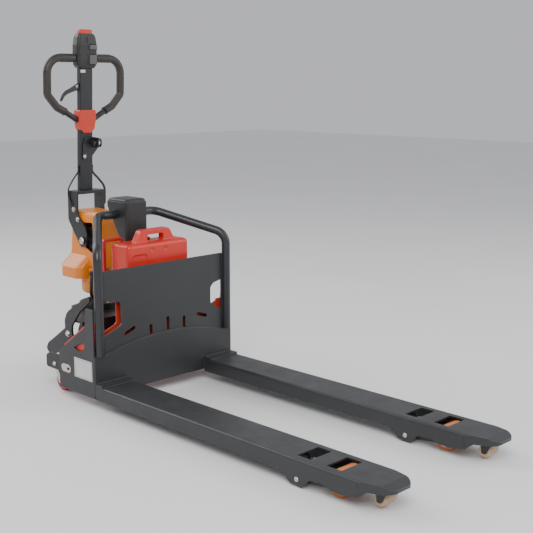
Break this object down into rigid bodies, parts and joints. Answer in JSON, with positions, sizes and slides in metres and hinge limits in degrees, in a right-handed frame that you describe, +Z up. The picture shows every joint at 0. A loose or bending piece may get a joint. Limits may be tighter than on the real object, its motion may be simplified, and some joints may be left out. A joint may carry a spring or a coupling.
{
  "type": "pallet jack",
  "caption": "Powered pallet jack with twin forks, guard hoop, lift-out battery, steered drive wheel and tilting tiller with loop handle.",
  "frame": {"origin": "on the floor, at mid width and at the middle of the overall length", "axes": "-Y towards the fork tips, +Y towards the operator, +X to the operator's left, +Z up"},
  "size_m": [0.612, 1.7818, 1.2594],
  "materials": {
    "charcoal_paint": "satin charcoal grey powder coat, light scuffs",
    "black_paint": "satin black paint",
    "black_plastic": "fine textured black plastic",
    "grey_plastic": "dark grey plastic",
    "battery_red": "red-orange moulded plastic",
    "frame_red": "red paint",
    "dark_red": "dark red plastic",
    "signal_red": "red-orange plastic",
    "amber": "amber moulded plastic",
    "orange_pu": "orange polyurethane",
    "tan_nylon": "tan nylon",
    "rubber": "black rubber",
    "tyre": "black rubber tread",
    "zinc": "zinc plated",
    "chrome": "hard chromed",
    "cast": "machined cast hub"
  },
  "bodies": {
    "drive_frame": {"drive_frame": "black_paint", "frame_arm_right": "black_paint", "frame_arm_left": "black_paint", "lift_cylinder": "black_paint"},
    "chassis": {"fork_right": "charcoal_paint", "fork_left": "charcoal_paint", "bulkhead": "charcoal_paint", "front_panel": "charcoal_paint", "side_plate_right": "charcoal_paint", "side_plate_left": "charcoal_paint", "lashing_eye": "zinc", "guard_hoop": "black_paint", "inner_frame": "frame_red", "battery_tray": "black_paint", "bracket_axle_right": "zinc", "bracket_axle_left": "zinc", "entry_bracket_right": "black_paint", "entry_bracket_left": "black_paint", "controller_housing": "black_plastic", "housing_lid": "black_plastic", "lift_ram": "chrome"},
    "battery": {"battery_case": "battery_red", "battery_cap": "dark_red"},
    "battery_bail": {"battery_bail": "dark_red"},
    "bell_crank": {"bell_crank": "black_paint"},
    "push_rod_right": {"push_rod_right": "black_paint"},
    "push_rod_left": {"push_rod_left": "black_paint"},
    "roller_bracket_right": {"roller_bracket_right": "black_paint"},
    "roller_bracket_left": {"roller_bracket_left": "black_paint"},
    "load_roller_right": {"load_roller_right": "orange_pu"},
    "load_roller_left": {"load_roller_left": "orange_pu"},
    "entry_roller_right": {"entry_roller_right": "tan_nylon"},
    "entry_roller_left": {"entry_roller_left": "tan_nylon"},
    "castor_right": {"castor_fork_right": "zinc"},
    "castor_left": {"castor_fork_left": "zinc"},
    "castor_wheel_right": {"castor_wheel_right": "dark_red"},
    "castor_wheel_left": {"castor_wheel_left": "dark_red"},
    "steering": {"drive_fork": "black_paint", "motor_can": "amber", "unit_cover": "amber", "pump_block": "black_paint", "motor_cable": "rubber"},
    "drive_wheel": {"drive_tyre": "tyre", "drive_hub": "cast"},
    "tiller": {"tiller_clevis": "black_paint", "tiller_shaft": "black_paint", "handle_loop": "black_paint", "grip_right": "rubber", "grip_left": "rubber", "hub_cover": "signal_red", "control_head": "black_plastic", "key_bracket": "black_paint", "tiller_cable_right": "rubber", "tiller_cable_left": "rubber"},
    "belly_button": {"belly_button": "signal_red"},
    "horn_button": {"horn_button": "grey_plastic"},
    "lift_button": {"lift_button": "grey_plastic"},
    "lowering_lever": {"lowering_lever": "black_plastic"},
    "ignition_key": {"ignition_key": "black_plastic"}
  },
  "joints": [
    {"name": "lift", "type": "slide", "parent": "drive_frame", "child": "chassis", "axis": [0, 0, 1], "range_m": [0, 0.11]},
    {"name": "steer", "type": "hinge", "parent": "drive_frame", "child": "steering", "pos_m": [0, 0.729, 0.24], "axis": [0, 0, 1], "range_deg": [-80, 80]},
    {"name": "drive_wheel_roll", "type": "hinge", "parent": "steering", "child": "drive_wheel", "pos_m": [0, 0.729, 0.105], "axis": [1, 0, 0], "continuous": true},
    {"name": "tiller_tilt", "type": "hinge", "parent": "steering", "child": "tiller", "pos_m": [0, 0.729, 0.4965], "axis": [-1, 0, 0], "range_deg": [0, 69], "stiffness_Nm_per_rad": 22, "springref_deg": -34.38},
    {"name": "belly_button_press", "type": "slide", "parent": "tiller", "child": "belly_button", "axis": [0, 0.0523, -0.9986], "range_m": [0, 0.006], "stiffness_N_per_m": 400, "springref_m": -0.003},
    {"name": "horn_button_press", "type": "slide", "parent": "tiller", "child": "horn_button", "axis": [0, 0.9986, 0.0523], "range_m": [0, 0.002], "stiffness_N_per_m": 400, "springref_m": -0.002},
    {"name": "lift_button_press", "type": "slide", "parent": "tiller", "child": "lift_button", "axis": [0, 0.9986, 0.0523], "range_m": [0, 0.002], "stiffness_N_per_m": 400, "springref_m": -0.002},
    {"name": "lowering_lever_pull", "type": "hinge", "parent": "tiller", "child": "lowering_lever", "pos_m": [-0.031, 0.77543, 1.05549], "axis": [1, 0, 0], "range_deg": [0, 18], "stiffness_Nm_per_rad": 0.6, "springref_deg": -14.32},
    {"name": "key_turn", "type": "hinge", "parent": "tiller", "child": "ignition_key", "pos_m": [0.0435, 0.75215, 0.84999], "axis": [1, 0, 0], "range_deg": [0, 90]},
    {"name": "battery_lift_out", "type": "slide", "parent": "chassis", "child": "battery", "axis": [0, 0, 1], "range_m": [0, 0.16]},
    {"name": "bail_swing", "type": "hinge", "parent": "chassis", "child": "battery_bail", "pos_m": [-0.104, 0.489, 0.409], "axis": [-1, 0, 0], "range_deg": [0, 45]},
    {"name": "crank_turn", "type": "hinge", "parent": "chassis", "child": "bell_crank", "pos_m": [0, 0.454, 0.0895], "axis": [-1, 0, 0], "range_deg": [0, 60]},
    {"name": "push_rod_right_slide", "type": "slide", "parent": "chassis", "child": "push_rod_right", "axis": [0, -1, 0], "range_m": [0, 0.0304]},
    {"name": "roller_bracket_right_swing", "type": "hinge", "parent": "chassis", "child": "roller_bracket_right", "pos_m": [-0.239, -0.582, 0.022], "axis": [1, 0, 0], "range_deg": [0, 57]},
    {"name": "load_roller_right_roll", "type": "hinge", "parent": "roller_bracket_right", "child": "load_roller_right", "pos_m": [-0.239, -0.705, 0.037], "axis": [1, 0, 0], "continuous": true},
    {"name": "entry_roller_right_roll", "type": "hinge", "parent": "chassis", "child": "entry_roller_right", "pos_m": [-0.239, -0.834, 0.029], "axis": [1, 0, 0], "continuous": true},
    {"name": "castor_right_swivel", "type": "hinge", "parent": "drive_frame", "child": "castor_right", "pos_m": [-0.25, 0.614, 0.09], "axis": [0, 0, 1], "continuous": true},
    {"name": "castor_wheel_right_roll", "type": "hinge", "parent": "castor_right", "child": "castor_wheel_right", "pos_m": [-0.25, 0.591, 0.036], "axis": [1, 0, 0], "continuous": true},
    {"name": "push_rod_left_slide", "type": "slide", "parent": "chassis", "child": "push_rod_left", "axis": [0, -1, 0], "range_m": [0, 0.0304]},
    {"name": "roller_bracket_left_swing", "type": "hinge", "parent": "chassis", "child": "roller_bracket_left", "pos_m": [0.239, -0.582, 0.022], "axis": [1, 0, 0], "range_deg": [0, 57]},
    {"name": "load_roller_left_roll", "type": "hinge", "parent": "roller_bracket_left", "child": "load_roller_left", "pos_m": [0.239, -0.705, 0.037], "axis": [1, 0, 0], "continuous": true},
    {"name": "entry_roller_left_roll", "type": "hinge", "parent": "chassis", "child": "entry_roller_left", "pos_m": [0.239, -0.834, 0.029], "axis": [1, 0, 0], "continuous": true},
    {"name": "castor_left_swivel", "type": "hinge", "parent": "drive_frame", "child": "castor_left", "pos_m": [0.25, 0.614, 0.09], "axis": [0, 0, 1], "continuous": true},
    {"name": "castor_wheel_left_roll", "type": "hinge", "parent": "castor_left", "child": "castor_wheel_left", "pos_m": [0.25, 0.591, 0.036], "axis": [1, 0, 0], "continuous": true}
  ],
  "couplings": [
    {"joint": "crank_turn", "follows": "lift", "rad_per_m": 9.519},
    {"joint": "push_rod_right_slide", "follows": "lift", "ratio": 0.27634},
    {"joint": "roller_bracket_right_swing", "follows": "lift", "rad_per_m": 9.0431},
    {"joint": "push_rod_left_slide", "follows": "lift", "ratio": 0.27634},
    {"joint": "roller_bracket_left_swing", "follows": "lift", "rad_per_m": 9.0431}
  ]
}
